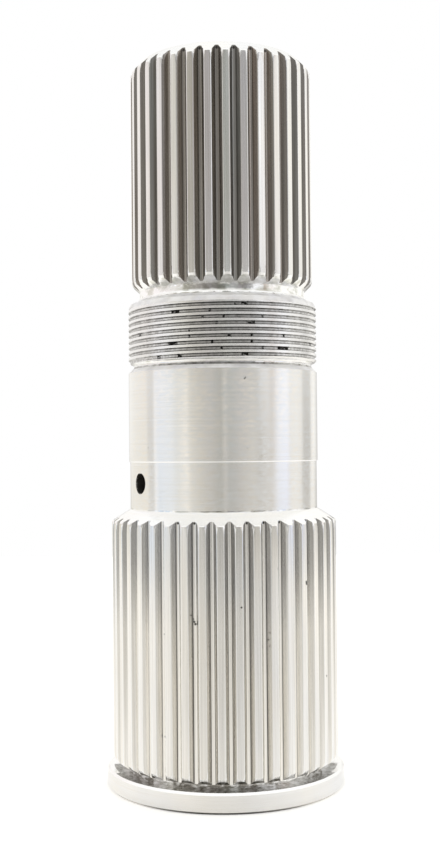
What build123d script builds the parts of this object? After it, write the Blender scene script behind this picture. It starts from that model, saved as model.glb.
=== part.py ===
# Transmission output shaft, turned and splined from one steel bar.
# It stands on its thrust flange, at z = 0, and its axis is +Z.
# The front of the shaft, where the spline angles are counted from, faces -Y.
# All sizes are in millimetres.

import os
from math import acos, cos, pi, radians, sin, tan

from build123d import *

# Splines: 20/40 pitch, so a module of 1.27, with a rounded root
spline_module = 1.27
spline_pressure_angle = 30
spline_addendum_share = 1.0
spline_root_share = 1.35
spline_root_rounding = 0.07
upper_teeth = 33
upper_land_width = 1.6
upper_land_angle = 4.15
lower_teeth = 41
lower_land_width = 1.64
lower_gap_angle = 3.44

# Thrust flange
flange_diameter = 56.0
flange_thickness = 4.6
flange_edge_chamfer = 0.5

# Relief groove between the flange and the lower spline
flange_groove_width = 1.15
flange_groove_depth = 0.35

# Lower spline
lower_entry_chamfer_height = 1.1
lower_land_length = 55.2
lower_shoulder_height = 2.8

# Oil land, a little smaller than the bearing journal
oil_land_diameter = 44.5
oil_land_length = 11.05

# Bearing journal
journal_diameter = 45.0
journal_length = 21.0
journal_lower_chamfer = 0.15
journal_upper_chamfer = 0.95

# Thread relief
thread_relief_diameter = 43.0
thread_relief_length = 1.3

# Locknut thread: 18 turns to the inch, drawn here at its major diameter
thread_diameter = 44.88
thread_length = 14.0
thread_chamfer = 0.45

# Neck between the thread and the upper spline: a wide fillet, and a short straight stretch above it
neck_diameter = 39.4
neck_fillet_ledge = 0.1
neck_straight_length = 0.81

# Upper spline
upper_land_length = 50.1
upper_end_chamfer = 2.6

# Oil passages: an axial bore from the flange face, met by one radial hole
oil_bore_diameter = 12.0
oil_bore_overrun = 4.0
oil_bore_mouth_chamfer = 1.5
drill_point_angle = 118
oil_hole_diameter = 4.5
oil_hole_height_on_land = 6.2
oil_hole_angle = 59

# Lathe centre in the upper end
centre_hole_diameter = 4.0
centre_hole_depth = 9.0
centre_hole_mouth_diameter = 10.0
centre_hole_cone_angle = 60

# Room that a cutter has past the metal that it cuts
cutter_overrun = 1.0


def pitch_radius(teeth):
    """Radius of the pitch circle."""
    return spline_module * teeth / 2


def major_radius(teeth):
    """Radius over the lands of the teeth."""
    return spline_module * (teeth + spline_addendum_share) / 2


def root_radius(teeth):
    """Radius at the bottom of the gaps between the teeth."""
    return spline_module * (teeth - spline_root_share) / 2


def base_radius(teeth):
    """Radius of the circle that the involute flanks unwind from."""
    return pitch_radius(teeth) * cos(radians(spline_pressure_angle))


def involute_angle(teeth, radius):
    """Angle in radians that the involute has turned through where it reaches this radius."""
    pressure = acos(base_radius(teeth) / radius)
    return tan(pressure) - pressure


def half_gap_angle(teeth, land_width, radius):
    """Half of the angle across one gap at this radius, with lands of this width."""
    half_land = land_width / 2 / major_radius(teeth)
    half_tooth = half_land + involute_angle(teeth, major_radius(teeth)) - involute_angle(teeth, radius)
    return pi / teeth - half_tooth


def spline_gap(teeth, land_width):
    """One gap between two teeth, centred on +X: two involute flanks and a rounded root."""
    bottom = root_radius(teeth)
    foot = bottom + spline_root_rounding
    outside = major_radius(teeth) + cutter_overrun

    def on_flank(radius, side):
        """Point of the flank at this radius; side is -1 or +1."""
        angle = side * half_gap_angle(teeth, land_width, radius)
        return (radius * cos(angle), radius * sin(angle))

    with BuildSketch() as gap:
        with BuildLine():
            right_foot = on_flank(foot, -1)
            left_foot = on_flank(foot, 1)
            right_tip = on_flank(outside, -1)
            left_tip = on_flank(outside, 1)
            ThreePointArc(right_foot, on_flank((foot + outside) / 2, -1), right_tip)
            Line(right_tip, left_tip)
            ThreePointArc(left_tip, on_flank((foot + outside) / 2, 1), left_foot)
            ThreePointArc(left_foot, (bottom, 0), right_foot)
        make_face()
    return gap.sketch


# Radii of the turned profile
flange_radius = flange_diameter / 2
lower_radius = major_radius(lower_teeth)
lower_root = root_radius(lower_teeth)
flange_groove_radius = lower_root - flange_groove_depth
oil_land_radius = oil_land_diameter / 2
journal_radius = journal_diameter / 2
thread_relief_radius = thread_relief_diameter / 2
thread_radius = thread_diameter / 2
neck_radius = neck_diameter / 2
upper_radius = major_radius(upper_teeth)

# The neck's fillet takes up the end of the thread, apart from a narrow ledge
neck_fillet = thread_radius - thread_chamfer - neck_fillet_ledge - neck_radius

# Heights of the turned profile, from the flange face up
z_flange_top = flange_thickness
z_groove_top = z_flange_top + flange_groove_width
z_lower_land = z_groove_top + lower_entry_chamfer_height
z_lower_land_top = z_lower_land + lower_land_length
z_oil_land = z_lower_land_top + lower_shoulder_height
z_journal = z_oil_land + oil_land_length
z_journal_top = z_journal + journal_length
z_relief = z_journal_top + journal_upper_chamfer
z_thread = z_relief + thread_relief_length
z_thread_top = z_thread + thread_length
z_neck_top = z_thread_top + neck_fillet + neck_straight_length
z_upper_land = z_neck_top + upper_radius - neck_radius
z_upper_land_top = z_upper_land + upper_land_length
z_top = z_upper_land_top + upper_end_chamfer

# The oil hole breaks out of the oil land
z_oil_hole = z_oil_land + oil_hole_height_on_land

with BuildPart() as output_shaft:
    # Turned blank, revolved from half of its section
    with BuildSketch(Plane.XZ) as turned_section:
        with BuildLine():
            Polyline(
                (0, 0),
                (flange_radius - flange_edge_chamfer, 0),
                (flange_radius, flange_edge_chamfer),
                (flange_radius, z_flange_top - flange_edge_chamfer),
                (flange_radius - flange_edge_chamfer, z_flange_top),
                (flange_groove_radius, z_flange_top),
                (flange_groove_radius, z_groove_top),
                (lower_root, z_groove_top),
                (lower_radius, z_lower_land),
                (lower_radius, z_lower_land_top),
                (oil_land_radius, z_oil_land),
                (oil_land_radius, z_journal),
                (journal_radius - journal_lower_chamfer, z_journal),
                (journal_radius, z_journal + journal_lower_chamfer),
                (journal_radius, z_journal_top),
                (thread_relief_radius, z_relief),
                (thread_relief_radius, z_thread),
                (thread_radius - thread_chamfer, z_thread),
                (thread_radius, z_thread + thread_chamfer),
                (thread_radius, z_thread_top - thread_chamfer),
                (thread_radius - thread_chamfer, z_thread_top),
                (neck_radius, z_thread_top),
                (neck_radius, z_neck_top),
                (upper_radius, z_upper_land),
                (upper_radius, z_upper_land_top),
                (upper_radius - upper_end_chamfer, z_top),
                (0, z_top),
                close=True,
            )
        make_face()
        # The neck sweeps out to the thread in the round left by the turning tool
        neck_foot = turned_section.vertices().sort_by_distance((neck_radius, z_thread_top))[0]
        fillet(neck_foot, radius=neck_fillet)
    revolve(axis=Axis.Z)

    # Upper spline: the gaps run out into the neck below and the end chamfer above
    upper_gap = spline_gap(upper_teeth, upper_land_width)
    upper_gap_start = -90 + upper_land_angle + 180 / upper_teeth
    with BuildSketch(Plane.XY.offset(z_neck_top)):
        with PolarLocations(0, upper_teeth, start_angle=upper_gap_start):
            add(upper_gap)
    extrude(amount=z_top - z_neck_top + cutter_overrun, mode=Mode.SUBTRACT)

    # Lower spline: the gaps run from the relief groove out through the shoulder
    lower_gap = spline_gap(lower_teeth, lower_land_width)
    lower_gap_start = -90 + lower_gap_angle
    z_lower_cut = z_flange_top + flange_groove_width / 2
    with BuildSketch(Plane.XY.offset(z_lower_cut)):
        with PolarLocations(0, lower_teeth, start_angle=lower_gap_start):
            add(lower_gap)
    extrude(amount=z_oil_land - z_lower_cut, mode=Mode.SUBTRACT)

    # Axial oil bore, blind, with a drill point and a chamfered mouth
    oil_bore_radius = oil_bore_diameter / 2
    z_bore_end = z_oil_hole + oil_hole_diameter / 2 + oil_bore_overrun
    drill_point_height = oil_bore_radius / tan(radians(drill_point_angle / 2))
    with BuildSketch(Plane.XZ):
        with BuildLine():
            Polyline(
                (0, 0),
                (oil_bore_radius + oil_bore_mouth_chamfer, 0),
                (oil_bore_radius, oil_bore_mouth_chamfer),
                (oil_bore_radius, z_bore_end),
                (0, z_bore_end + drill_point_height),
                close=True,
            )
        make_face()
    revolve(axis=Axis.Z, mode=Mode.SUBTRACT)

    # Radial oil hole, from the axial bore out through the oil land
    oil_hole_direction = (-sin(radians(oil_hole_angle)), -cos(radians(oil_hole_angle)), 0)
    with BuildSketch(Plane(origin=(0, 0, z_oil_hole), z_dir=oil_hole_direction)):
        Circle(oil_hole_diameter / 2)
    extrude(amount=oil_land_radius + cutter_overrun, mode=Mode.SUBTRACT)

    # Lathe centre in the upper end
    centre_cone_height = (centre_hole_mouth_diameter - centre_hole_diameter) / 2
    centre_cone_height /= tan(radians(centre_hole_cone_angle / 2))
    centre_point_height = centre_hole_diameter / 2 / tan(radians(drill_point_angle / 2))
    with BuildSketch(Plane.XZ):
        with BuildLine():
            Polyline(
                (0, z_top),
                (centre_hole_mouth_diameter / 2, z_top),
                (centre_hole_diameter / 2, z_top - centre_cone_height),
                (centre_hole_diameter / 2, z_top - centre_hole_depth),
                (0, z_top - centre_hole_depth - centre_point_height),
                close=True,
            )
        make_face()
    revolve(axis=Axis.Z, mode=Mode.SUBTRACT)

output_shaft.part.label = "output_shaft"
os.makedirs("parts", exist_ok=True)
export_step(output_shaft.part, "parts/output_shaft.step")

print("height", round(z_top, 3), "mm")
print("upper spline: over the lands", round(2 * upper_radius, 3), "mm")
print("lower spline: over the lands", round(2 * lower_radius, 3), "mm")
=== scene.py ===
# %% [markdown]
# # A splined transmission output shaft
#
# The real object is one bar of bright steel, stood upright on its thrust flange. A lathe turned its steps,
# a grinder finished the bearing journal, a die cut the locknut thread, and a hob cut the two splines. The
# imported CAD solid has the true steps, holes and teeth. It lacks the thread, the tiny broken edges that
# catch the light, and the finishes. So the solid gives the size and the place, and one new closed surface
# with the same form is worked out around it.

from math import cos, pi, radians, sin, tan

import bmesh
import bpy
import numpy as np
from mathutils import Matrix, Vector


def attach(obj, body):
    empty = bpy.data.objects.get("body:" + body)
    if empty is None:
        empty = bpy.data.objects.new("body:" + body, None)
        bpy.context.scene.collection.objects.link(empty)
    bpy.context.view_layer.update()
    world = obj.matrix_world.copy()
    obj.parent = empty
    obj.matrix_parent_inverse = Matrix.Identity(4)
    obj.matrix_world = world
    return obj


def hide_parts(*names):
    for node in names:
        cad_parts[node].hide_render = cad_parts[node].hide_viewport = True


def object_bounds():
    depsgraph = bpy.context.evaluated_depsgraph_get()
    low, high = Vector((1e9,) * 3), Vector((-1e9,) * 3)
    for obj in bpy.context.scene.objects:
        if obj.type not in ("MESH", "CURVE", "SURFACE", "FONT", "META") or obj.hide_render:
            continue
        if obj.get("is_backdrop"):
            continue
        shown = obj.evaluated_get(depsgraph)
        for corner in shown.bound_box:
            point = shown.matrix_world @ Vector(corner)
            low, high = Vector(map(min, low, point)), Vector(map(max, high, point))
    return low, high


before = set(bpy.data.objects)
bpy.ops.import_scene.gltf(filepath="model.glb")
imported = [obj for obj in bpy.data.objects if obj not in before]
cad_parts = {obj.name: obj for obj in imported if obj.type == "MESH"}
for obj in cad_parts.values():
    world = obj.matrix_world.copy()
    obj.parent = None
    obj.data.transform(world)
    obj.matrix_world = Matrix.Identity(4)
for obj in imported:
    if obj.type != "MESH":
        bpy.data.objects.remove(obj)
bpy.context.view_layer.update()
shaft_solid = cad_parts["output_shaft"]
MM = 0.001

# %% [markdown]
# ## Sizes
#
# A turned part is described by the radii and heights of its steps, as on a workshop drawing. These are the
# values, in millimetres, that the solid was turned to. Everything below is worked out from them, and only
# the finished mesh is in metres.

# %% Sizes of the splines, from their standard
module = 1.27
pressure_angle = radians(30)
root_share = 1.35
root_rounding = 0.07
upper_teeth, upper_land_width = 33, 1.6
lower_teeth, lower_land_width = 41, 1.64
front = radians(-90)
upper_land_turn, lower_gap_turn = 4.15, 3.44
upper_gap_angle = front + radians(upper_land_turn) + pi / upper_teeth
lower_gap_angle = front + radians(lower_gap_turn)


def major_radius(teeth):
    """Radius over the lands: half a module outside the pitch circle, which is teeth times module across."""
    return module * (teeth + 1) / 2


def root_radius(teeth):
    """Radius at the bottom of the gaps."""
    return module * (teeth - root_share) / 2


print("over the lands:", 2 * major_radius(upper_teeth), "and", 2 * major_radius(lower_teeth), "mm")

# %% Radii and heights of the turned steps
flange_radius, flange_height, flange_chamfer = 28.0, 4.6, 0.5
groove_depth, groove_height = 0.35, 1.15
entry_chamfer_height, lower_land_length, shoulder_height = 1.1, 55.2, 2.8
oil_land_radius, oil_land_length = 22.25, 11.05
journal_radius, journal_length = 22.5, 21.0
journal_foot_chamfer, journal_foot_height, journal_top_chamfer = 0.15, 0.25, 0.95
relief_radius, relief_length = 21.5, 1.3
thread_radius, thread_length, thread_chamfer = 22.44, 14.0, 0.45
neck_radius, neck_fillet_ledge, neck_straight_length = 19.7, 0.1, 0.81
upper_land_length, end_chamfer = 50.1, 2.6

lower_radius, lower_root = major_radius(lower_teeth), root_radius(lower_teeth)
upper_radius, upper_root = major_radius(upper_teeth), root_radius(upper_teeth)
groove_radius = lower_root - groove_depth
neck_fillet = thread_radius - thread_chamfer - neck_fillet_ledge - neck_radius

z_groove_top = flange_height + groove_height
z_lower_land = z_groove_top + entry_chamfer_height
z_lower_land_top = z_lower_land + lower_land_length
z_oil_land = z_lower_land_top + shoulder_height
z_journal = z_oil_land + oil_land_length
z_journal_top = z_journal + journal_length
z_relief = z_journal_top + journal_top_chamfer
z_thread = z_relief + relief_length
z_thread_top = z_thread + thread_length
z_neck_top = z_thread_top + neck_fillet + neck_straight_length
z_upper_land = z_neck_top + upper_radius - neck_radius
z_upper_land_top = z_upper_land + upper_land_length
z_top = z_upper_land_top + end_chamfer

# %% Sizes of the oil passages and the lathe centre
bore_radius, bore_mouth_chamfer, bore_overrun = 6.0, 1.5, 4.0
oil_hole_radius, oil_hole_height, oil_hole_turn = 2.25, 6.2, 59
oil_hole_angle = front - radians(oil_hole_turn)
z_oil_hole = z_oil_land + oil_hole_height
z_bore_end = z_oil_hole + oil_hole_radius + bore_overrun
drill_point_angle, centre_cone_angle = 118, 60
drill_point = 1 / tan(radians(drill_point_angle / 2))
centre_radius, centre_mouth_radius, centre_depth = 2.0, 5.0, 9.0
centre_cone = 1 / tan(radians(centre_cone_angle / 2))
hole_edge_break = 0.2
print("oil hole at", round(z_oil_hole, 2), "mm, bore", round(z_bore_end, 2), "mm deep")

# %% [markdown]
# ## The camera
#
# The camera looks from nearly level, a little below the shaft's middle, so the flange's top shows as a thin
# band. Its place and its three small turns were found by matching the edges of the steps and the corners of
# the teeth. A pinhole camera is just a place and three directions, so its matrix is put together from its
# right, up and backward directions.

# %% The camera at the photograph's viewing angle
IMAGE_HEIGHT_PX = 854
SENSOR_MM = 36
focal_length_px = 1202.0
camera_place = np.array([4.12, -288.2, 78.96]) * MM
yaw, pitch, roll = 0.0169, 0.018, -0.0086


def turn_matrix(angle, first, second):
    """A turn by the angle in the plane of two axes: cosines on the diagonal and sines beside it."""
    turn = np.eye(3)
    turn[first, first] = turn[second, second] = cos(angle)
    turn[first, second] = sin(angle)
    turn[second, first] = -sin(angle)
    return turn


right, forward, up = turn_matrix(roll, 0, 2) @ turn_matrix(pitch, 1, 2) @ turn_matrix(yaw, 0, 1)
camera_matrix = np.eye(4)
camera_matrix[:3, :3] = np.stack([right, up, -forward], axis=1)
camera_matrix[:3, 3] = camera_place

camera = bpy.data.objects.new("camera", bpy.data.cameras.new("camera"))
camera.matrix_world = Matrix(camera_matrix.tolist())
camera.data.sensor_width = SENSOR_MM
camera.data.lens = focal_length_px / IMAGE_HEIGHT_PX * SENSOR_MM
camera.data.clip_start = 0.01
bpy.context.scene.collection.objects.link(camera)
bpy.context.scene.camera = camera
print("lens", round(camera.data.lens, 2), "mm,", round(-camera_place[1] / MM, 1), "mm in front of the axis")

# %% [markdown]
# ## Surfaces as arrays
#
# Everything on a lathe is a profile carried round an axis. As numbers, that is a grid: a row for each point
# of the profile, a column for each direction. Blender's Spin tool could do this for a plain bar, but on a
# splined bar the radius also changes with the direction, and then a formula on a grid is shorter and exact.
# A few helpers make points and faces, and keep each patch with the number of its finish.

# %% Points and faces of a grid
def around(angles, radius, height):
    """Points about the axis: x is radius times cosine, y is radius times sine, and z is the height."""
    angles, radius, height = np.broadcast_arrays(angles, radius, height)
    return np.stack([radius * np.cos(angles), radius * np.sin(angles), height], axis=-1)


def turned(angles, *rows):
    """Points of rings about the axis. Each row is a pair (radius, height) of numbers or arrays."""
    return np.stack([around(angles, *row) for row in rows])


def grid_faces(rows, columns, closed=True):
    """Corner numbers of a grid's four-sided faces. Each face joins a row to the next and a column to the
    next, and in a closed grid the column after the last is the first again."""
    number = np.arange(rows * columns).reshape(rows, columns)
    beside = np.roll(number, -1, axis=1)
    if not closed:
        number, beside = number[:, :-1], beside[:, :-1]
    return np.stack([number[:-1], beside[:-1], beside[1:], number[1:]], axis=-1).reshape(-1, 4)


def even_angles(count, start):
    """Directions spread evenly round the axis."""
    return start + 2 * pi / count * np.arange(count)


# The numbers of the finishes, in the order in which the steel is mixed further down
TURNED, GROUND, LAND, RUBBED, BRIGHT_FLANK, FLANK_FOOT, BRIGHT_ROOT, DARK_GAP, CREST = range(9)
THREAD_FLANK, THREAD_ROOT, GRIME_AND_SHADE, MOTTLED, PATCHY_SHADE, FILLET, FOOT_RING, FOOT_GROOVE, HOLE_SHADE = range(9, 18)
patches = []


def keep_patch(name, points, faces, finish):
    """Keeps a patch: its points, the corner numbers of its faces, and one finish or one for each face."""
    patches.append((points.reshape(-1, 3), faces, np.broadcast_to(finish, len(faces))))
    print(name, "has", len(faces), "faces")


def keep_rings(name, angles, rows, finish):
    """Keeps the surface through rings about the axis. The finish is one number, one for each band between
    two rings, or one for each face."""
    if len(np.atleast_1d(finish)) == len(rows) - 1:
        finish = np.repeat(finish, len(angles))
    keep_patch(name, turned(angles, *rows), grid_faces(len(rows), len(angles)), finish)


# %% [markdown]
# ## Joining rings with unlike numbers of points
#
# A splined section needs about a thousand columns, because each flank is a curve, and the plain journal
# only a few hundred. Where they meet, a strip of triangles closes the two rings like the teeth of a zip. A
# gap too small to see would be easier, but a mesh with a hole can't be printed or measured.

# %% The zip between two rings
def zip_faces(first_angles, second_angles):
    """Corner numbers of the triangles between two rings, the second ring's points counted after the
    first's. Going round, each edge of one ring takes as its third corner the point of the other ring that
    was passed last."""
    first, second = first_angles % (2 * pi), second_angles % (2 * pi)
    first_order, second_order = np.argsort(first), np.argsort(second)
    first_next, second_next = np.roll(first_order, -1), np.roll(second_order, -1)
    second_passed = np.searchsorted(second[second_order], first[first_next], side="right") - 1
    first_passed = np.searchsorted(first[first_order], second[second_next], side="left") - 1
    offset = len(first)
    on_first = np.stack([first_order, first_next, offset + second_order[second_passed]], axis=1)
    on_second = np.stack([offset + second_next, offset + second_order, first_order[first_passed]], axis=1)
    return np.concatenate([on_first, on_second])


def zip_rings(name, first_angles, first_ring, second_angles, second_ring, finish):
    """Keeps the strip between two rings, each a pair (radius, height)."""
    points = np.concatenate([turned(first_angles, first_ring)[0], turned(second_angles, second_ring)[0]])
    keep_patch(name, points, zip_faces(first_angles, second_angles), finish)


# %% [markdown]
# ## The splined outline
#
# A hob rolls with the bar, so each flank is an involute: the curve that the end of a taut string draws as
# it unwinds from a base circle. The outline could be drawn as a curve object and swept, but the formula
# needs only the number of teeth, the module, the pressure angle and the width of the lands. Each tooth's
# corners are broken by less than a tenth of a millimetre, and that thin facet glints along the lands.

# %% One splined outline
ROOT_SHARES = np.array([0, 0.33, 0.67])
FLANK_DEPTH_SHARES = np.array([1, 0.84, 0.68, 0.5, 0.34, 0.2, 0.1])
FLANK_TIP_DEPTH = 0.05
LAND_OFFSETS = np.array([0.09, 0.22, 0.42])
CORNER_SLOPE = 0.55
FLANK_FOOT_FROM, ROOT_FROM = 0.82, 0.96


def half_gap(teeth, land_width, radius):
    """Half the angle across a gap at this radius. At the lands it is half of a tooth's share of the turn
    less half the land, and further in it closes by the angle that the involute turns through: tan(p) - p,
    where the cosine of p is the base radius over the radius."""
    base_radius = module * teeth / 2 * cos(pressure_angle)

    def involute(at_radius):
        pressure = np.arccos(base_radius / at_radius)
        return np.tan(pressure) - pressure

    major = major_radius(teeth)
    return pi / teeth - land_width / 2 / major - involute(major) + involute(radius)


def spline_outline(teeth, land_width, gap_angle):
    """Radius and angle of each point round a splined bar, and how far past the land's corner it is, in mm
    along the turn. From the middle of a gap outwards come the rounded root, where the radius grows with the
    square of the angle, the involute flank and half of the land; mirrored, that is one tooth's share."""
    major, bottom = major_radius(teeth), root_radius(teeth)
    foot = bottom + root_rounding
    flank_radius = np.append(major - (major - foot) * FLANK_DEPTH_SHARES, major - FLANK_TIP_DEPTH)
    corner = half_gap(teeth, land_width, major)
    land_angle = np.append(corner + LAND_OFFSETS / major, pi / teeth)
    root_angle = half_gap(teeth, land_width, foot) * ROOT_SHARES
    root = bottom + root_rounding * ROOT_SHARES**2
    half_radius = np.concatenate([root, flank_radius, np.full(len(land_angle), major)])
    half_angle = np.concatenate([root_angle, half_gap(teeth, land_width, flank_radius), land_angle])
    share_radius = np.concatenate([half_radius[:0:-1], half_radius[:-1]])
    share_angle = np.concatenate([-half_angle[:0:-1], half_angle[:-1]])
    past_corner = (np.abs(share_angle) - corner) * major
    angles = (even_angles(teeth, gap_angle)[:, None] + share_angle).ravel()
    return np.tile(share_radius, teeth), angles, np.tile(past_corner, teeth)


def gap_finish(outline, past_corner, teeth, flank, foot, root):
    """The finish of each face between two columns, by the middle of the two: land, rubbed edge, or the
    flank, the flank's foot or the root of the gap."""
    middle = (past_corner + np.roll(past_corner, -1)) / 2
    radius = (outline + np.roll(outline, -1)) / 2
    depth_share = (major_radius(teeth) - radius) / (major_radius(teeth) - root_radius(teeth))
    in_gap = np.where(depth_share > ROOT_FROM, root, np.where(depth_share > FLANK_FOOT_FROM, foot, flank))
    return np.where(middle > LAND_OFFSETS[0], LAND, np.where(middle > -FLANK_TIP_DEPTH, RUBBED, in_gap))


lower_outline, lower_angles, lower_past = spline_outline(lower_teeth, lower_land_width, lower_gap_angle)
upper_outline, upper_angles, upper_past = spline_outline(upper_teeth, upper_land_width, upper_gap_angle)
# The lower gaps' finishes paint shade into the flanks, darkest at the flank's foot
lower_finish = gap_finish(lower_outline, lower_past, lower_teeth, BRIGHT_FLANK, FLANK_FOOT, BRIGHT_ROOT)
upper_finish = gap_finish(upper_outline, upper_past, upper_teeth, DARK_GAP, DARK_GAP, DARK_GAP)
print("columns:", len(lower_angles), "round the lower spline,", len(upper_angles), "round the upper")

# %% How far the corners are brushed off near the ends of the teeth
EDGE_BREAK = 0.09
# Rows, in mm: how far in from the end, how far the corner is brushed off there, and how far the land drops
FOOT_BANDS = np.array([
    [0, 0.3, 0.6, 1.0, 1.6, 2.4],
    [0.24, 0.2, 0.15, 0.12, 0.1, EDGE_BREAK],
    [0.24, 0, 0, 0, 0, 0],
])
HEAD_BANDS = np.array([
    [0, 0.12, 0.6, 1.0, 1.6, 2.4],
    [0.36, 0.32, 0.23, 0.16, 0.12, EDGE_BREAK],
    [0.1, 0, 0, 0, 0, 0],
])


def worn(outline, past_corner, wear, drop):
    """The outline with its lands rounded off. At the very end of a tooth the whole land drops. A facet
    starts this far in from each corner, and falls by the corner slope for each millimetre towards the gap,
    until it meets the flank."""
    facet = outline.max() - drop - CORNER_SLOPE * np.maximum(wear - past_corner, 0)
    return np.minimum(outline, facet)


def toothed_rows(outline, past_corner, foot_cone, head_cone):
    """Rows of a splined stretch between two cones, each given as a function of the radius. The wear grows
    towards both ends, and each column ends where its own worn radius meets the cone."""

    def end_rows(bands, cone, way):
        """Rows from one end towards the middle. The way is 1 where that is up and -1 where it is down."""
        end = way * np.maximum(way * cone(outline.max()), way * cone(outline))
        radii = [worn(outline, past_corner, wear, drop) for wear, drop in bands[1:].T]
        heights = [cone(radii[0])] + [end + way * inside for inside in bands[0, 1:]]
        return list(zip(radii, heights))

    return end_rows(FOOT_BANDS, foot_cone, 1) + end_rows(HEAD_BANDS, head_cone, -1)[::-1]


def toothed_finish(finish, past_corner):
    """The finish of each face of a splined stretch, band by band: near its ends the rubbed edge is as wide
    as the wear, and it takes in the very end of the land."""
    middle = (past_corner + np.roll(past_corner, -1)) / 2

    def end_bands(bands):
        """The finish of the faces from one end towards the middle."""
        wears, drops = bands[1:]
        wear = (wears[:-1] + wears[1:])[:, None] / 2
        rubbed = (middle < wear) & (middle > -wear * CORNER_SLOPE)
        rubbed |= (drops[:-1, None] > 0) & (middle > 0)
        return np.where(rubbed, RUBBED, finish)

    return np.concatenate([end_bands(FOOT_BANDS), finish[None], end_bands(HEAD_BANDS)[::-1]]).ravel()


# %% [markdown]
# ## The flange and the lower spline
#
# The lower spline dies out on two cones: a short one at the relief groove above the flange, and the long
# shoulder under the oil land. Cutting the teeth with a Boolean would leave slivers along those edges. Here
# the ends come out exact, because each column of the grid starts and stops where its own radius meets the
# cone. The flange's top and its groove are painted dark in front and behind, as shade and the dark
# reflection of the teeth, but not at the sides, and the groove has two painted glints.

# %% The flange, its groove and the lower spline
def cone(radius, height, slope):
    """A cone as a function: it has this height at this radius, and the slope is its rise per mm outwards."""
    return lambda at_radius: height + (at_radius - radius) * slope


entry_cone = cone(lower_root, z_groove_top, entry_chamfer_height / (lower_radius - lower_root))
shoulder_cone = cone(lower_radius, z_lower_land_top, -shoulder_height / (lower_radius - oil_land_radius))
inner_ring_radius = 26.5
foot_rows = [
    (flange_radius - flange_chamfer, 0),
    (flange_radius, flange_chamfer),
    (flange_radius, flange_height - flange_chamfer),
    (flange_radius - flange_chamfer, flange_height),
    (inner_ring_radius, flange_height),
    (groove_radius, flange_height),
    (groove_radius, z_groove_top),
    (lower_root, z_groove_top),
]
spline_rows = toothed_rows(lower_outline, lower_past, entry_cone, shoulder_cone)
foot_rows.append(spline_rows[0])
shoulder_rows = [spline_rows[-1], (lower_root, shoulder_cone(lower_root))]
print("the flange has", len(foot_rows), "rings of", len(lower_angles), "points")

# %% The painted shade on the flange, and the three patches
# How far from the front and the back the painted shade goes, in degrees
RING_PAINTED_SHADE, INNER_RING_PAINTED_SHADE, GROOVE_PAINTED_SHADE = 66, 84, 63
# Where the groove has painted glints: a turn from the front and a reach, in degrees
PAINTED_GLINTS = [(-34, 6), (38, 8)]
foot_turn = np.degrees((lower_angles - front + pi) % (2 * pi) - pi)
from_ends = np.minimum(np.abs(foot_turn), 180 - np.abs(foot_turn))
painted_glint = np.any([np.abs(foot_turn - turn) < reach for turn, reach in PAINTED_GLINTS], axis=0)
outer_ring = np.where(from_ends < RING_PAINTED_SHADE, FOOT_RING, RUBBED)
inner_ring = np.where(from_ends < INNER_RING_PAINTED_SHADE, FOOT_RING, RUBBED)
groove = np.where((from_ends < GROOVE_PAINTED_SHADE) & ~painted_glint, FOOT_GROOVE, MOTTLED)
# The flange's underside chamfer takes the dark flank-foot finish, a painted contact shadow
foot_bands = [FLANK_FOOT, TURNED, RUBBED, outer_ring, inner_ring, groove, groove, groove]
foot_finish = np.concatenate([np.broadcast_to(band, len(lower_angles)) for band in foot_bands])
keep_rings("flange and groove", lower_angles, foot_rows, foot_finish)
keep_rings("lower spline", lower_angles, spline_rows, toothed_finish(lower_finish, lower_past))
keep_rings("shoulder", lower_angles, shoulder_rows, RUBBED)

# %% [markdown]
# ## The oil land, with a real hole in it
#
# Oil comes up the axial bore and leaves through one small hole in the land below the journal. A black disc
# could stand for it, but from the side it would float. So the wall's grid has a window of faces taken out,
# and rings that change from the window's rectangle to the hole's circle fill it up again. One function
# makes the outer wall and the wall of the bore, and a short tube joins the two mouths.

# %% A cylinder wall with the mouth of the oil hole
# The window's reach to each side in faces, the rings in it, and its height over the hole's
WINDOW, WINDOW_RINGS, WINDOW_MARGIN = 6, 4, 1.35
steps = np.arange(-WINDOW, WINDOW)
side = np.full(2 * WINDOW, WINDOW)
loop_columns = np.concatenate([steps, side, -steps, -side])
loop_rows = np.concatenate([-side, steps, side, -steps])
loop_directions = np.arctan2(loop_rows, loop_columns)


def mouth_ring(wall_radius, ring_radius, depth=0.0):
    """Points of the hole's ring where it meets a cylinder wall. A point beside the axis by u lies the
    square root of R squared less u squared from the shaft's axis, less the depth below the wall."""
    beside = ring_radius * np.cos(loop_directions)
    along = np.sqrt(wall_radius**2 - beside**2) - depth
    x = along * cos(oil_hole_angle) - beside * sin(oil_hole_angle)
    y = along * sin(oil_hole_angle) + beside * cos(oil_hole_angle)
    return np.stack([x, y, z_oil_hole + ring_radius * np.sin(loop_directions)], axis=-1)


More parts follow.
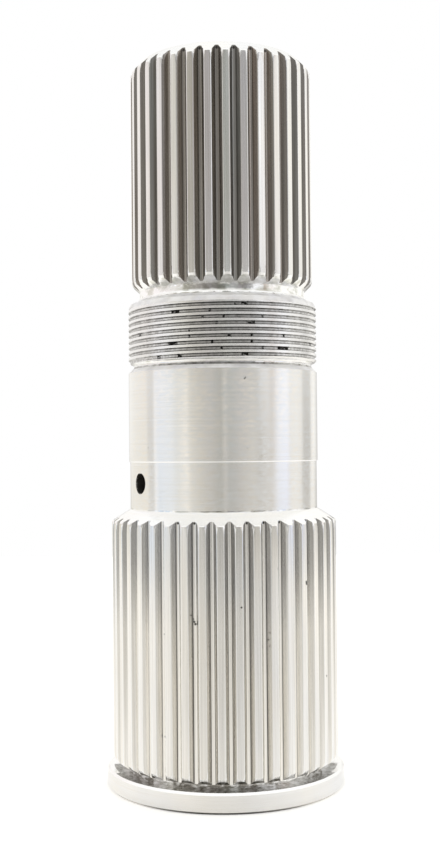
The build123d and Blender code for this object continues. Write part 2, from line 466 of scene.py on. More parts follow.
def holed_wall(name, wall_radius, ring_radius, columns, heights_below, heights_above, finish, inward=False):
    """Keeps a cylinder wall with a window round the oil hole. Between the hole's ring and the window's
    rectangle, angle and height change evenly, and the radius stays the wall's."""
    angles = even_angles(columns, oil_hole_angle)
    window_height = ring_radius * WINDOW_MARGIN
    window = z_oil_hole + window_height / WINDOW * np.arange(-WINDOW, WINDOW + 1)
    heights = np.concatenate([heights_below, window, heights_above])
    faces = grid_faces(len(heights), columns).reshape(len(heights) - 1, columns, 4)
    in_window = np.zeros(faces.shape[:2], dtype=bool)
    window_rows = slice(len(heights_below), len(heights_below) + 2 * WINDOW)
    in_window[window_rows, :WINDOW] = in_window[window_rows, -WINDOW:] = True
    wall_faces = faces[~in_window]
    share = np.linspace(0, 1, WINDOW_RINGS)[:, None]
    ring_angle = np.arcsin(ring_radius * np.cos(loop_directions) / wall_radius)
    angle = (1 - share) * ring_angle + share * loop_columns * 2 * pi / columns
    height = (1 - share) * ring_radius * np.sin(loop_directions) + share * loop_rows * window_height / WINDOW
    ring_points = around(oil_hole_angle + angle, wall_radius, z_oil_hole + height)
    ring_faces = grid_faces(WINDOW_RINGS, len(loop_columns))[:, ::-1]
    if inward:
        wall_faces, ring_faces = wall_faces[:, ::-1], ring_faces[:, ::-1]
    keep_patch(name, turned(angles, *[(wall_radius, z) for z in heights]), wall_faces, finish)
    keep_patch(name + ", round the hole", ring_points, ring_faces, finish)
    return angles


# %% The oil land, the wall of the bore and the hole between them
PLAIN_COLUMNS, BORE_COLUMNS = 264, 80
FOOT_LINE_HEIGHT = 0.3
land_foot = [(oil_land_radius, z_oil_land), (oil_land_radius, z_oil_land + FOOT_LINE_HEIGHT)]
mouth_radius = oil_hole_radius + hole_edge_break
plain_angles = holed_wall(
    "oil land", oil_land_radius, mouth_radius, PLAIN_COLUMNS, [land_foot[1][1]], [z_journal], GROUND
)
# A thin band at the land's foot is painted dark, as shade in its corner with the shoulder
keep_rings("oil land foot", plain_angles, land_foot, PATCHY_SHADE)
# The bore's wall is painted dark, as shade inside the hole
bore_angles = holed_wall(
    "bore wall", bore_radius, oil_hole_radius, BORE_COLUMNS, [bore_mouth_chamfer], [z_bore_end], HOLE_SHADE,
    inward=True
)
hole_rings = np.stack([
    mouth_ring(oil_land_radius, mouth_radius),
    mouth_ring(oil_land_radius, oil_hole_radius, hole_edge_break),
    mouth_ring(bore_radius, oil_hole_radius),
])
# The hole's broken edge stays ground steel on the front's side, and is painted dark on the other side as
# shade
broken_edge = np.where(np.cos(loop_directions) > 0, GROUND, GRIME_AND_SHADE)
# Inside the oil hole the wall is painted dark, as its shade
hole_finish = np.concatenate([broken_edge, np.full(len(loop_columns), HOLE_SHADE)])
keep_patch("oil hole", hole_rings, grid_faces(len(hole_rings), len(loop_columns)), hole_finish)
zip_rings("shoulder zip", lower_angles, shoulder_rows[-1], plain_angles, land_foot[0], RUBBED)

# %% The ends of the bore
# The bore's end and mouth are painted dark, as shade inside the hole
bore_end_rows = [(0, z_bore_end + bore_radius * drill_point), (bore_radius, z_bore_end)]
bore_mouth_rows = [(bore_radius, bore_mouth_chamfer), (bore_radius + bore_mouth_chamfer, 0)]
keep_rings("bore end", bore_angles, bore_end_rows, HOLE_SHADE)
keep_rings("bore mouth", bore_angles, bore_mouth_rows, HOLE_SHADE)
zip_rings("underside", bore_angles, bore_mouth_rows[-1], lower_angles, foot_rows[0], TURNED)

# %% [markdown]
# ## The journal and the thread relief
#
# The journal is ground a little larger than the oil land, so its foot shows as one thin bright line. Its
# top ends in a chamfer and a groove for the thread tool to run out in. The groove's floor is slightly
# hollow, as a round-nosed tool leaves it, and mirrors the room as a dark line between two bright ones. Both
# are the plain case of the turned grid.

# %% The journal and the relief
RELIEF_HOLLOW, RELIEF_POINTS = 0.3, 9
relief_share = np.linspace(0, 1, RELIEF_POINTS)
relief_profile = relief_radius - RELIEF_HOLLOW * (1 - (2 * relief_share - 1) ** 2)
relief_heights = z_relief + relief_share * relief_length
journal_rows = [
    (oil_land_radius, z_journal),
    (journal_radius - journal_foot_chamfer, z_journal),
    (journal_radius, z_journal + journal_foot_height),
    (journal_radius, z_journal_top),
    *zip(relief_profile, relief_heights),
    (thread_radius - thread_chamfer, z_thread),
]
# The relief's lower bands take the dark thread-flank finish, a painted dark line, and its top band painted
# shade under the thread
journal_finishes = [TURNED, RUBBED, GROUND, FILLET] + [THREAD_FLANK] * 3 + [MOTTLED] * 4 + [PATCHY_SHADE, TURNED]
keep_rings("journal", plain_angles, journal_rows, journal_finishes)

# %% [markdown]
# ## The thread
#
# The locknut thread is a shallow groove that climbs one pitch for each turn. Blender's Screw modifier makes
# such a helix, but its ends stick out and have to be cut off. A sheared grid is neater: every column is the
# same profile, raised by its share of the pitch, and heights past the ends are pressed flat and merged
# later. The thread is right-handed, so it rises with the angle. Just below its long, low upper chamfer the
# cut runs out.

# %% The helical thread
INCH, TURNS_PER_INCH = 25.4, 18
thread_pitch = INCH / TURNS_PER_INCH
thread_depth = 0.42
thread_root_width = 0.36
thread_flank_angle = radians(30)
thread_flank_width = thread_depth * tan(thread_flank_angle)
crest_point_share = 0.4
z_front_groove = 105.54
top_chamfer_height, thread_runout = 1.15, 0.25


def thread_profile():
    """Heights over one pitch from the middle of the groove, as shares of the pitch, and how far each lies
    below the crest: the flat root, a flank at 30 degrees, the flat crest, and the same mirrored."""
    root_end = thread_root_width / 2 / thread_pitch
    crest_start = root_end + thread_flank_width / thread_pitch
    half = np.array([0, root_end, crest_start, crest_point_share, 0.5])
    sunk = thread_depth * np.array([1, 1, 0, 0, 0])
    return np.concatenate([half, 1 - half[-2:0:-1]]), np.concatenate([sunk, sunk[-2:0:-1]])


share, sunk = thread_profile()
turns_below = np.ceil((z_front_groove - z_thread) / thread_pitch + 1)
turns_above = np.ceil((z_thread_top - z_front_groove) / thread_pitch + 1)
whole = np.arange(-turns_below, turns_above)
row_height = z_front_groove + thread_pitch * (whole[:, None] + share).ravel()
row_sunk = np.tile(sunk, len(whole))
column_angles = np.append(plain_angles, plain_angles[0] + 2 * pi)
climb = thread_pitch * (column_angles - front) / (2 * pi)
raised = row_height[:, None] + climb
thread_z = np.clip(raised, z_thread, z_thread_top)
from_end = np.minimum(thread_z - z_thread, (z_thread_top - thread_z) * thread_chamfer / top_chamfer_height)
chamfered = thread_radius - thread_chamfer + from_end
still_cut = np.clip((z_thread_top - top_chamfer_height - thread_z) / thread_runout + 1, 0, 1)
grooved = thread_radius - row_sunk[:, None] * still_cut
thread_r = np.minimum(grooved, chamfered)
thread_points = around(column_angles, thread_r, thread_z)
thread_faces = grid_faces(*raised.shape, closed=False)
flattened = np.ptp(thread_z.reshape(-1)[thread_faces], axis=1) == 0
mean_sunk = (row_sunk[:-1] + row_sunk[1:]) / 2
# Flanks and roots take darker finishes that paint in the room's dark reflected lines
row_finish = np.where(mean_sunk == 0, CREST, np.where(mean_sunk == thread_depth, THREAD_ROOT, THREAD_FLANK))
thread_finish = np.repeat(row_finish, len(plain_angles))

# %% Dirt packed in the thread
# Each is a groove, counted up from the one that crosses the front at mid height, an angle from the front in
# degrees, and a length in millimetres
DIRT = [
    (4, 8, 0.6), (4, 14, 1.8), (3, -28, 2.2), (3, -7, 0.6), (2, -11, 0.6), (2, 2, 0.6), (2, 25, 0.6),
    (1, -3, 0.6), (1, 17, 2.0), (0, -59, 1.1), (0, -19, 0.6), (-1, -19, 0.6), (-1, 5, 0.7), (-1, 18, 0.6),
    (-1, 40, 0.6), (-2, -30, 2.9), (-2, -5, 0.6), (-2, 18, 0.6), (-2, 69, 1.0), (-3, 0, 0.6), (-3, 25, 0.9),
    (-3, 39, 3.0), (-4, -40, 1.2), (-4, -25, 1.4), (-4, 14, 1.3),
]
BEHIND_TURNS = range(85, 280, 11)
BEHIND = np.random.default_rng(seed=18)
DIRT += [(BEHIND.integers(-4, 5), turn, BEHIND.uniform(0.6, 1.8)) for turn in BEHIND_TURNS]
DIRT_REACH = 0.42
corners = thread_points.reshape(-1, 3)[thread_faces]
middle = corners.mean(axis=1)
face_turn = np.arctan2(middle[:, 1], middle[:, 0]) - front
packed = np.zeros(len(thread_faces), dtype=bool)
for groove, turn, length in DIRT:
    height = z_front_groove + thread_pitch * (groove + turn / 360)
    aside = np.abs((face_turn - radians(turn) + pi) % (2 * pi) - pi) * thread_radius
    packed |= (aside < length / 2) & (np.abs(middle[:, 2] - height) < DIRT_REACH)
packed &= thread_finish != CREST
thread_finish = np.where(middle[:, 2] > z_thread_top - top_chamfer_height, FILLET, thread_finish)
thread_finish = np.where(packed, GRIME_AND_SHADE, thread_finish)
keep_patch("thread", thread_points, thread_faces[~flattened], thread_finish[~flattened])
print(len(DIRT), "places with dirt,", packed.sum(), "faces of it")

# %% [markdown]
# ## The neck and the upper spline
#
# Above the thread the bar is necked down below the roots of the upper spline, so that the hob runs out in
# free air. The neck's foot is round where the turning tool's nose left it. The spline starts on a cone and
# ends in the wide chamfer at the top, with the same kind of grid as below, and its gaps are darker than the
# lower ones.

# %% The neck, the upper spline and the top
FILLET_POINTS = 13
fillet_turn = np.linspace(-pi / 2, -pi, FILLET_POINTS)
fillet_radius = neck_radius + neck_fillet + neck_fillet * np.cos(fillet_turn)
fillet_height = z_thread_top + neck_fillet + neck_fillet * np.sin(fillet_turn)
neck_rows = [(thread_radius - thread_chamfer, z_thread_top)]
neck_rows += list(zip(fillet_radius, fillet_height))
neck_rows += [(neck_radius, z_neck_top)]
# The neck's top bands take painted shade under the upper teeth
keep_rings("neck", plain_angles, neck_rows, [FILLET] * 8 + [MOTTLED] * 2 + [PATCHY_SHADE] * 4)

neck_cone = cone(neck_radius, z_neck_top, 1)
end_cone = cone(upper_radius, z_upper_land_top, -1)
root_foot, root_head = (upper_root, neck_cone(upper_root)), (upper_root, end_cone(upper_root))
end_face = (upper_radius - end_chamfer, z_top)
# The neck's zip and the upper cone take painted shade under the upper teeth
zip_rings("neck zip", plain_angles, neck_rows[-1], upper_angles, root_foot, PATCHY_SHADE)
upper_rows = toothed_rows(upper_outline, upper_past, neck_cone, end_cone)
keep_rings("upper cone", upper_angles, [root_foot, upper_rows[0]], PATCHY_SHADE)
keep_rings("upper spline", upper_angles, upper_rows, toothed_finish(upper_finish, upper_past))
keep_rings("end chamfer", upper_angles, [upper_rows[-1], root_head, end_face], TURNED)

# %% The lathe centre in the top face
CENTRE_COLUMNS = 48
centre_angles = even_angles(CENTRE_COLUMNS, front)
z_centre_cone = z_top - (centre_mouth_radius - centre_radius) * centre_cone
centre_rows = [
    (centre_mouth_radius, z_top),
    (centre_radius, z_centre_cone),
    (centre_radius, z_top - centre_depth),
    (0, z_top - centre_depth - centre_radius * drill_point),
]
zip_rings("top face", upper_angles, end_face, centre_angles, centre_rows[0], TURNED)
# The centre's cone stays turned steel; its hole is painted dark, as shade
keep_rings("lathe centre", centre_angles, centre_rows, [TURNED, HOLE_SHADE, HOLE_SHADE])

# %% [markdown]
# ## One closed mesh
#
# The patches share their border points, so merging doubles welds them into one closed skin. That can be
# checked: every edge has two faces, and the volume can be set beside the solid's. Sharp edges could be left
# to an Edge Split modifier, but marking those over 20 degrees keeps the skin whole.

# %% Weld the patches
counts = np.cumsum([0] + [len(points) for points, faces, finish in patches])
all_points = np.concatenate([points for points, faces, finish in patches]) * MM
all_faces = [
    face for start, (points, faces, finish) in zip(counts, patches) for face in (faces + start).tolist()
]
all_finishes = np.concatenate([finish for points, faces, finish in patches])

shaft_mesh = bpy.data.meshes.new("splined_shaft")
shaft_mesh.from_pydata(all_points.tolist(), [], all_faces)
shaft_mesh.polygons.foreach_set("material_index", all_finishes.astype(np.int32))
WELD_DISTANCE = 0.002 * MM
weld = bmesh.new()
weld.from_mesh(shaft_mesh)
bmesh.ops.remove_doubles(weld, verts=weld.verts, dist=WELD_DISTANCE)
bmesh.ops.recalc_face_normals(weld, faces=weld.faces)
open_edges = sum(not edge.is_manifold for edge in weld.edges)
shaft_volume = weld.calc_volume() / MM**3
weld.to_mesh(shaft_mesh)
weld.free()
shaft_mesh.shade_smooth()
SHARP_ANGLE = radians(20)
shaft_mesh.set_sharp_from_angle(angle=SHARP_ANGLE)
shaft = bpy.data.objects.new("splined_shaft", shaft_mesh)
bpy.context.scene.collection.objects.link(shaft)

solid = bmesh.new()
solid.from_mesh(shaft_solid.data)
bmesh.ops.remove_doubles(solid, verts=solid.verts, dist=WELD_DISTANCE)
solid_volume = abs(solid.calc_volume()) / MM**3
solid.free()
triangles = sum(len(polygon.vertices) - 2 for polygon in shaft_mesh.polygons)
print(triangles, "triangles,", open_edges, "open edges")
print("volume", round(shaft_volume), "cubic mm, with the thread cut; the solid's is", round(solid_volume))

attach(shaft, "root")
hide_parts("output_shaft")

# %% [markdown]
# ## Bright steel
#
# Bare steel has no paint, so nearly all of its look is reflection: a metallic shader with a pale colour,
# not very rough. The turning tool leaves fine grooves round the bar, which spread each reflection up and
# down but hardly sideways, into the long soft bands of a turned cylinder. An anisotropic shader with a
# tangent round the axis does that for grooves too fine to model. Small differences in tone come from noise
# stretched round the bar for turned walls, or along it for hobbed ones. Some finishes also change towards
# the sides, as painted light or shade, and darker tones paint shade into gaps, grooves, corners and holes.

# %% Small helpers for shader nodes
def fill(tree, node, inputs):
    """Sets each named or numbered input of a node to a value, or links it to another node's output."""
    for name, value in inputs.items():
        if isinstance(value, bpy.types.NodeSocket):
            tree.links.new(value, node.inputs[name])
        else:
            node.inputs[name].default_value = value


def add_node(tree, kind, inputs, **settings):
    """The outputs of a new node, with its settings made and its inputs filled."""
    node = tree.nodes.new("ShaderNode" + kind)
    for name, setting in settings.items():
        setattr(node, name, setting)
    fill(tree, node, inputs)
    return node.outputs


def add_place(tree):
    """Object coordinates: the place on the piece itself, in metres."""
    return add_node(tree, "TexCoord", {})["Object"]


def add_noise(tree, scale, detail=3.0):
    """Noise on Object coordinates, stretched by a scale in features per metre along each axis."""
    stretched = add_node(tree, "Mapping", {"Vector": add_place(tree), "Scale": scale})["Vector"]
    return add_node(tree, "TexNoise", {"Vector": stretched, "Scale": 1.0, "Detail": detail})[0]


def add_range(tree, value, low, high, to_low=0, to_high=1):
    """The value, mapped from one range to another and held inside it."""
    ends = {"From Min": low, "From Max": high, "To Min": to_low, "To Max": to_high}
    return add_node(tree, "MapRange", {"Value": value, **ends})["Result"]


def add_mix(tree, share, first, second, blend_type="MIX"):
    """A colour between two, by a share. Each of the two is a colour or the output of another node."""
    ends = [end if isinstance(end, bpy.types.NodeSocket) else (*end, 1) for end in (first, second)]
    inputs = {"Factor": share, 6: ends[0], 7: ends[1]}
    return add_node(tree, "Mix", inputs, data_type="RGBA", blend_type=blend_type)[2]


def add_product(tree, first, second):
    """Two colours multiplied part by part."""
    return add_mix(tree, 1.0, first, second, "MULTIPLY")


def add_math(tree, operation, *values):
    """One Math node on numbers or outputs of other nodes."""
    return add_node(tree, "Math", dict(enumerate(values)), operation=operation)["Value"]


def add_vector_math(tree, operation, *values):
    """The outputs of one Vector Math node on vectors or outputs of other nodes."""
    return add_node(tree, "VectorMath", dict(enumerate(values)), operation=operation)


# %% Where a place is on the shaft
# Turns from the front, in degrees, where the painted side light starts, is full, starts to fall and has
# fallen, and the share left behind
SIDE_LIGHT_TURNS = (14, 44, 72, 98)
SIDE_LIGHT_BEHIND = 0.25
MARK_GREY = (0.08, 0.075, 0.07)
MARK_EDGE = (1.3, 0.8)
FAR_FROM_MARKS = 100


def add_outward(tree):
    """The direction from the axis to a place: its X and Y over their length, with no height."""
    level = add_vector_math(tree, "MULTIPLY", add_place(tree), (1, 1, 0))["Vector"]
    outward = add_vector_math(tree, "NORMALIZE", level)["Vector"]
    split = add_node(tree, "SeparateXYZ", {"Vector": outward})
    return split["X"], split["Y"]


def add_height(tree):
    """The height of a place, in metres."""
    return add_node(tree, "SeparateXYZ", {"Vector": add_place(tree)})["Z"]


def add_marks(tree, colour, radius, marks):
    """Small dark marks in a colour: nicks, and darker spots at the ends of gaps. Each mark is an angle from
    the front in degrees, a height and a size in millimetres, and darkens what lies closer to it than its
    size once all is pressed onto one cylinder."""
    x, y = [add_math(tree, "MULTIPLY", share, radius * MM) for share in add_outward(tree)]
    pressed = add_node(tree, "CombineXYZ", {"X": x, "Y": y, "Z": add_height(tree)})["Vector"]
    nearest = FAR_FROM_MARKS
    for turn, mark_height, size in marks:
        angle = front + radians(turn)
        mark = (radius * cos(angle) * MM, radius * sin(angle) * MM, mark_height * MM)
        distance = add_vector_math(tree, "DISTANCE", pressed, mark)["Value"]
        nearest = add_math(tree, "MINIMUM", add_math(tree, "DIVIDE", distance, size * MM), nearest)
    return add_mix(tree, add_range(tree, nearest, *MARK_EDGE), colour, MARK_GREY)


def add_side_light_share(tree):
    """How much painted side light a place gets, by its turn from the front: none up to the first of the
    side-light turns, all of it from the second to the third, and only a little behind the last. The cosine
    of the turn is less the outward direction's Y."""
    start, full, end, behind = [-cos(radians(turn)) for turn in SIDE_LIGHT_TURNS]
    outward_y = add_outward(tree)[1]
    rising = add_range(tree, outward_y, start, full)
    falling = add_range(tree, outward_y, end, behind, 1, SIDE_LIGHT_BEHIND)
    return add_math(tree, "MULTIPLY", rising, falling)


# %% One finish of bare steel
ROUND_THE_BAR = (30, 30, 5200)
ALONG_THE_BAR = (3000, 3000, 35)
QUARTER_TURN = 0.25
WHITE = (1, 1, 1)
FOOT_FRONT_HEIGHTS, FOOT_SIDE_HEIGHTS = (28, 50), (38, 53)
GROOVE_EDGES, ROUGHNESS_EDGES = (0.35, 0.7), (0.3, 0.7)
SMOOTHER, ROUGHER = 0.8, 1.2


def grey(level, warmth=0.02):
    """A nearly neutral colour: a little more red and a little less blue than its level."""
    return (level * (1 + warmth / 2), level, level * (1 - warmth))


def steel(name, warm, cool, roughness, spread=0.0, grooves=ROUND_THE_BAR, groove_shade=0.93,
          groove_depth_um=2.0, patch_scale=(45, 45, 30), patch_edges=(0.35, 0.65), near_foot=None,
          side_light_gain=1.0, marks=None):
    """Bare steel between two tones, in soft patches, with fine grooves that darken it to a share and tilt
    its normals. Spread is how far the highlight is drawn out along the shaft's axis, across the turning
    grooves. Near the foot of the lower spline the tone may change to one in front and one at the sides, as
    painted light and shade. The tone may also grow by a gain towards the sides, as painted light or shade.
    Small dark marks may be added."""
    material = bpy.data.materials.new(name)
    material.use_nodes = True
    tree = material.node_tree
    shader = tree.nodes["Principled BSDF"]
    patch = add_noise(tree, patch_scale)
    groove = add_noise(tree, grooves, detail=2.0)
    tone = add_mix(tree, add_range(tree, patch, *patch_edges), warm, cool)
    # Near the lower spline's foot the tone changes as painted light and shade, one tone in front and one at
    # the sides
    if near_foot:
        front_share, side_share = [
            add_range(tree, add_height(tree), low * MM, high * MM)
            for low, high in (FOOT_FRONT_HEIGHTS, FOOT_SIDE_HEIGHTS)
        ]
        front_tone = add_mix(tree, front_share, near_foot[0], tone)
        side_tone = add_mix(tree, side_share, near_foot[1], tone)
        tone = add_mix(tree, add_side_light_share(tree), front_tone, side_tone)
    grooved = add_mix(tree, add_range(tree, groove, *GROOVE_EDGES), WHITE, grey(groove_shade))
    colour = add_product(tree, tone, grooved)
    # A gain that paints light or shade growing towards the sides
    if side_light_gain != 1.0:
        gain = add_mix(tree, add_side_light_share(tree), WHITE, grey(side_light_gain, 0.0))
        colour = add_product(tree, colour, gain)
    if marks:
        colour = add_marks(tree, colour, *marks)
    rough = add_range(tree, patch, *ROUGHNESS_EDGES, roughness * SMOOTHER, roughness * ROUGHER)
    depth = groove_depth_um / 1000 * MM
    tilted = add_node(tree, "Bump", {"Strength": 1.0, "Distance": depth, "Height": groove})["Normal"]
    fill(tree, shader, {"Base Color": colour, "Metallic": 1.0, "Roughness": rough, "Normal": tilted})
    if spread:
        tangent = add_node(tree, "Tangent", {}, direction_type="RADIAL", axis="Z")["Tangent"]
        fill(tree, shader, {"Anisotropic": spread, "Anisotropic Rotation": QUARTER_TURN, "Tangent": tangent})
    shaft_mesh.materials.append(material)


# %% Where the dark marks are
def gap_marks(teeth, turn, gaps, height, size):
    """The same mark in several gaps, counted from the one at this turn."""
    return [(turn + 360 / teeth * gap, height, size) for gap in gaps]


# Each is an angle from the front in degrees, a height and a size in millimetres
JOURNAL_MARKS = (journal_radius, [
    (13.2, 94.5, 0.15), (13.9, 94.75, 0.12), (-6.0, 97.0, 0.08), (-48.6, 79.3, 0.1), (14.6, 79.0, 0.08),
])
SPLINE_MARKS = (lower_radius, [
    (-14.0, 40.6, 0.27), (-14.5, 41.1, 0.24), (-14.9, 41.7, 0.15), (-12.8, 42.4, 0.14), (44.3, 48.7, 0.3),
    (44.0, 49.1, 0.22), (8.7, 44.4, 0.2), (-31.0, 15.4, 0.28), (60.8, 27.0, 0.2), (27.0, 52.5, 0.15),
    (19.2, 38.3, 0.14), (19.7, 36.8, 0.15), (19.3, 35.4, 0.13), (-31.4, 38.0, 0.12),
    # Dark spots at the upper ends of the lower gaps
    *gap_marks(lower_teeth, lower_gap_turn, (-3, -2, 1, 2, 3, 5), height=62.6, size=0.28),
])
# Dark spots at the top ends of the upper gaps
upper_gap_turn = upper_land_turn + 180 / upper_teeth
gap_tips = gap_marks(upper_teeth, upper_gap_turn, range(-3, 4), height=z_upper_land_top + 0.9, size=0.34)
GAP_TIP_MARKS = (upper_radius, gap_tips)

# %% The finishes, in the order of their numbers
TEETH = {"grooves": ALONG_THE_BAR, "marks": SPLINE_MARKS}
FINE = {"grooves": (1500, 1500, 1500)}
ROUGH_CUT = {"grooves": (380, 380, 520)}
# Turned steel, a little darker towards the sides by a painted gain
steel("turned_steel", grey(0.97, 0.03), grey(0.92, -0.02), 0.2, spread=0.4, groove_shade=0.95,
      side_light_gain=0.94)
steel("ground_steel", (0.935, 0.915, 0.88), (0.90, 0.905, 0.905), 0.19, spread=0.85, groove_shade=0.955,
      patch_scale=(700, 700, 1900), marks=JOURNAL_MARKS)
steel("land_steel", grey(0.92, 0.05), grey(0.90, 0.0), 0.2, groove_shade=0.86, **TEETH)
steel("rubbed_edge_steel", grey(0.99, 0.0), grey(0.98, -0.01), 0.2, groove_shade=0.98)
# The lower gaps: painted shade in the flanks, darkest at their foot, changing near the spline's foot and
# towards the sides as painted light
steel("bright_flank_steel", grey(0.66, 0.03), grey(0.62, 0.0), 0.22, groove_shade=0.8,
      near_foot=(grey(0.83, 0.05), grey(0.96, 0.04)), **TEETH)
steel("flank_foot_steel", grey(0.39, 0.04), grey(0.35, 0.0), 0.3, groove_shade=0.75, side_light_gain=1.2,
      near_foot=(grey(0.27, 0.05), grey(0.78, 0.04)), **TEETH)
steel("bright_root_steel", grey(0.90, 0.03), grey(0.86, 0.0), 0.2,
      near_foot=(grey(0.97, 0.04), grey(0.97, 0.04)), **TEETH)
# The upper gaps are darker steel, with painted shade deepening them
steel("dark_gap_steel", (0.44, 0.40, 0.365), (0.40, 0.405, 0.39), 0.27, groove_shade=0.7,
      groove_depth_um=4, patch_scale=(160, 160, 9), grooves=ALONG_THE_BAR, marks=GAP_TIP_MARKS)
steel("crest_steel", grey(0.98), grey(0.94, -0.01), 0.22, spread=0.3)
# The thread's flanks and roots are painted dark as the room's reflection, lighter towards the sides by a
# painted gain
steel("thread_flank_steel", grey(0.18, 0.04), grey(0.36, 0.0), 0.3, patch_scale=(700, 700, 700),
      groove_shade=0.6, side_light_gain=2.3, **FINE)
steel("thread_root_steel", grey(0.64, 0.03), grey(0.48, 0.0), 0.28, groove_shade=0.6, side_light_gain=1.4, **FINE)
# Dirt packed in the thread, and painted shade on one side of the oil hole's edge
steel("dirt_and_shade", grey(0.02, 0.1), grey(0.40, 0.0), 0.5, patch_scale=(1400, 1400, 2400),
      patch_edges=(0.52, 0.62), **FINE)
steel("mottled_steel", grey(0.98), grey(0.95, -0.01), 0.14, groove_shade=0.88, groove_depth_um=150,
      **ROUGH_CUT)
# Patches of a darker tone, painted shade in corners and under the teeth, lighter towards the sides by a
# painted gain
steel("patchy_shade_steel", (0.56, 0.56, 0.52), grey(0.86, 0.0), 0.12, patch_scale=(330, 330, 520),
      patch_edges=(0.38, 0.56), groove_shade=0.85, groove_depth_um=150, side_light_gain=1.35, **ROUGH_CUT)
steel("fillet_steel", grey(0.99, 0.0), (0.93, 0.93, 0.95), 0.75, patch_scale=(260, 260, 420),
      groove_shade=0.9, groove_depth_um=120, **ROUGH_CUT)
# The flange's ring and groove: a dark tone of painted shade and reflection in patches with a bright one, the
# ring darker towards the sides by a painted gain
steel("foot_ring_steel", (0.50, 0.49, 0.46), grey(0.99, 0.0), 0.3, patch_scale=(800, 800, 800),
      patch_edges=(0.44, 0.66), groove_shade=0.7, groove_depth_um=25, side_light_gain=0.68, **FINE)
steel("foot_groove_steel", (0.40, 0.38, 0.35), grey(0.98, 0.0), 0.2, patch_scale=(620, 620, 1500),
      patch_edges=(0.46, 0.62), grooves=(1200, 1200, 1200), groove_shade=0.7, groove_depth_um=50)
# Inside the holes the steel is painted dark, as their shade
steel("hole_shade_steel", grey(0.20, 0.08), grey(0.18, 0.08), 0.45)
print(len(shaft_mesh.materials), "finishes, and the last number is", HOLE_SHADE)

# %% [markdown]
# ## The studio
#
# Polished metal shows the room more than itself. A light tent makes a bar white all over, and all the grey
# in it is what stands round the tent. So the surroundings are rings of soft panels, placed by compass
# direction: one level with the journal, one past the floor's edge, one higher up, and a white roof. A
# picture of a room could do this too, but a few stops on a colour ramp can be tuned one by one. The camera
# sees plain white behind the shaft, through Light Path, and the floor is white paper that keeps the shaft's
# shadow.

# %% A ring of panels
def add_compass(tree, place):
    """The compass angle of a direction or place, as a share of a full turn, and its height. The share is
    one half on the camera's side and grows to the camera's right."""
    east, north, height = add_node(tree, "SeparateXYZ", {"Vector": place})
    south = add_math(tree, "MULTIPLY", north, -1)
    return add_range(tree, add_math(tree, "ARCTAN2", east, south), -pi, pi), height


def add_panels(tree, compass_share, stops, warmth=0.02):
    """A ring of soft panels round the shaft. Each stop is a compass angle in degrees and a colour or a
    grey's level, and the ramp's share is the angle over a full turn, plus one half."""
    node = tree.nodes.new("ShaderNodeValToRGB")
    fill(tree, node, {"Fac": compass_share})
    while len(node.color_ramp.elements) < len(stops):
        node.color_ramp.elements.new(0.5)
    for element, (compass_angle, tone) in zip(node.color_ramp.elements, stops):
        element.position = compass_angle / 360 + 0.5
        element.color = (*(tone if isinstance(tone, tuple) else grey(tone, warmth)), 1)
    return node.outputs["Color"]


# %% The panels' stops: compass angles in degrees, and colours or levels of grey
PAPER, BEIGE, LINE = (1.03, 1.02, 0.99), (0.92, 0.90, 0.84), (0.70, 0.70, 0.69)
GLARE, LEFT_LAMP, LILAC = (1.12, 1.13, 1.16), (1.07, 1.08, 1.11), (0.44, 0.42, 0.43)
# Level with the journal: a beige and a grey stretch in front, between two narrow lamps
LOW_PANELS = [
    (-180, 0.66), (-168, 0.74), (-154, (0.97, 0.96, 0.93)), (-106, grey(0.86, 0.06)), (-101, LINE),
    (-93, LINE), (-89, grey(1.0, -0.03)), (-78, LEFT_LAMP), (-64, LEFT_LAMP), (-57, 0.96),
    (-46, grey(1.07, 0.04)), (-43, grey(1.12, 0.04)), (-39, BEIGE), (-20, (0.81, 0.79, 0.73)),
    (-1, (0.71, 0.70, 0.66)), (3, grey(1.14, 0.05)), (7, 0.77), (15, 0.80), (26, (0.94, 0.92, 0.87)),
    (38, (1.02, 1.00, 0.95)), (45, (0.56, 0.55, 0.53)), (60, 0.78), (70, GLARE), (84, GLARE), (89, 0.92),
    (101, 0.93), (110, 0.86), (115, 0.56), (131, 0.60), (136, 0.95), (146, PAPER), (166, 0.62),
]
# Past the floor's edge, as the oil land sees it: a share of the level panels
EDGE_PANELS = [
    (-180, 0.85), (-112, BEIGE), (-103, (0.98, 0.96, 0.90)), (-101, 0.92), (-94, 0.82), (-90, 1.0),
    (-84, (0.50, 0.61, 0.74)), (-56, (0.54, 0.61, 0.67)), (-44, 0.77), (-30, 0.60), (-10, 0.36),
    (-1, 0.23), (3, 0.15), (7, 0.20), (13, 0.20), (16, 0.24), (38, grey(0.30, 0.06)),
    (50, grey(0.42, 0.06)), (62, 0.53), (72, (0.56, 0.63, 0.80)), (84, (0.57, 0.63, 0.83)), (92, 0.82),
    (112, 0.88), (180, 0.85),
]
# The floor, as the lower spline sees it: darker in front, where the camera keeps light away, and far behind
FLOOR_PANELS = [
    (-180, 0.59), (-168, 0.52), (-156, 0.745), (-140, 0.795), (-97, 0.88), (-71, 0.845), (-49, 0.775),
    (-29, 0.745), (0, 0.72), (29, 0.675), (49, 0.70), (71, 0.735), (95, 0.90), (138, 0.815), (154, 0.725),
    (168, 0.52),
]
FLOOR_WARMTH = 0.04
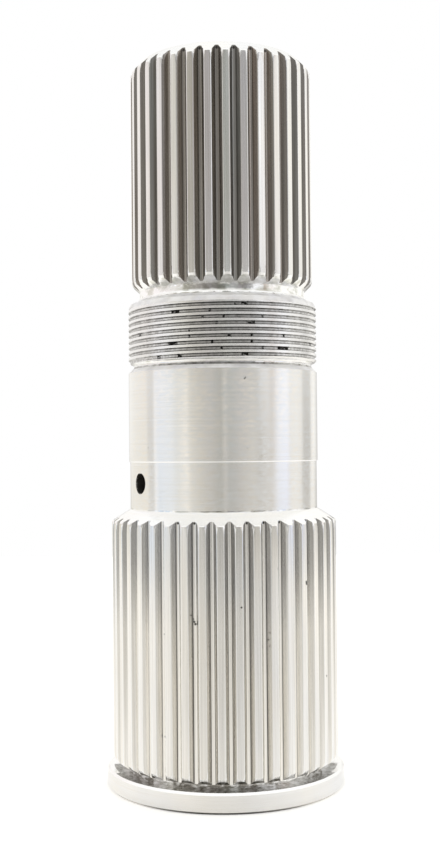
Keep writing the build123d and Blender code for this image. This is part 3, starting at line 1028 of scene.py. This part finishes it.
# Above the horizon, as the upper half sees it: a dim room on the camera's side
HIGH_PANELS = [
    (-180, PAPER), (-110, (0.98, 0.93, 0.92)), (-80, (0.86, 0.82, 0.81)), (-60, (0.74, 0.72, 0.66)),
    (-40, (0.44, 0.42, 0.38)), (-26, (0.36, 0.34, 0.32)), (-14, LILAC), (0, (0.30, 0.30, 0.28)),
    (10, (0.42, 0.44, 0.42)), (26, LILAC), (40, (0.34, 0.34, 0.34)), (46, GLARE), (56, GLARE),
    (62, (0.70, 0.61, 0.56)), (78, PAPER), (180, PAPER),
]
ROOF = (1.07, 1.07, 1.05)
print("stops:", [len(stops) for stops in (LOW_PANELS, EDGE_PANELS, FLOOR_PANELS, HIGH_PANELS)])

# %% The surroundings, by direction
# A direction's height is the sine of its elevation. Each pair is where one ring of panels gives way to the
# next
FLOOR_EDGE, HORIZON, ROOF_EDGE = (-0.005, -0.03), (0.05, 0.14), (0.42, 0.7)
world = bpy.data.worlds.new("studio")
bpy.context.scene.world = world
world.use_nodes = True
sky = world.node_tree
compass_share, height = add_compass(sky, add_node(sky, "TexCoord", {})["Generated"])
low, edge, high = [add_panels(sky, compass_share, stops) for stops in (LOW_PANELS, EDGE_PANELS, HIGH_PANELS)]
low_walls = add_product(sky, low, add_mix(sky, add_range(sky, height, *FLOOR_EDGE), WHITE, edge))
walls = add_mix(sky, add_range(sky, height, *HORIZON), low_walls, high)
room = add_mix(sky, add_range(sky, height, *ROOF_EDGE), walls, ROOF)
camera_ray = add_node(sky, "LightPath", {})["Is Camera Ray"]
seen = add_mix(sky, camera_ray, room, WHITE)
fill(sky, sky.nodes["Background"], {"Color": seen, "Strength": 1.0})
print("surroundings with", len(sky.nodes), "nodes")

# %% The floor
FLOOR_SIZE = 1.2
floor_mesh = bpy.data.meshes.new("floor")
corners = np.array([[-1, -1, 0], [1, -1, 0], [1, 1, 0], [-1, 1, 0]]) * FLOOR_SIZE / 2
floor_mesh.from_pydata(corners.tolist(), [], [(0, 1, 2, 3)])
floor = bpy.data.objects.new("floor", floor_mesh)
bpy.context.scene.collection.objects.link(floor)
floor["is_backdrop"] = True
print("floor", FLOOR_SIZE, "m wide")

# %% Its paper, and how the steel sees it
PAPER_WHITE = (0.93, 0.92, 0.90)
PAPER_ROUGHNESS = 0.9
CAMERA_LIFT = 0.3
STEEL_LIFT = 0.22
# The panels on the floor fade in between two distances, in metres, and the lift between two shares of the
# turn
PANELS_FROM, PANELS_FULL = 0.05, 0.13
LIFT_FROM, LIFT_FULL = 11 / 360, 60 / 360
paper = bpy.data.materials.new("white_paper")
paper.use_nodes = True
tree = paper.node_tree
light_path = add_node(tree, "LightPath", {})
place = add_place(tree)
floor_share = add_compass(tree, place)[0]
floor_panels = add_panels(tree, floor_share, FLOOR_PANELS, FLOOR_WARMTH)
from_axis = add_vector_math(tree, "LENGTH", place)["Value"]
away = add_range(tree, from_axis, PANELS_FROM, PANELS_FULL)
# For reflections only, the paper is painted with panels of shade and glows more away from the front
away_in_steel = add_math(tree, "MULTIPLY", away, light_path["Is Glossy Ray"])
paper_colour = add_mix(tree, away_in_steel, PAPER_WHITE, floor_panels)
off_front = add_math(tree, "ABSOLUTE", add_math(tree, "SUBTRACT", floor_share, 0.5))
beside = add_range(tree, off_front, LIFT_FROM, LIFT_FULL, 0, STEEL_LIFT)
camera_lift = add_math(tree, "MULTIPLY", light_path["Is Camera Ray"], CAMERA_LIFT)
glossy_lift = add_math(tree, "MULTIPLY", beside, light_path["Is Glossy Ray"])
fill(tree, tree.nodes["Principled BSDF"], {
    "Base Color": paper_colour,
    "Roughness": PAPER_ROUGHNESS,
    "Emission Color": (1, 1, 1, 1),
    "Emission Strength": add_math(tree, "ADD", camera_lift, glossy_lift),
})
floor_mesh.materials.append(paper)
print("paper with", len(tree.nodes), "nodes")

# %% Colour management, sizes and the end
bpy.context.scene.view_settings.view_transform = "Standard"
low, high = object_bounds()
print("visual model", [round(side / MM, 2) for side in high - low], "mm")
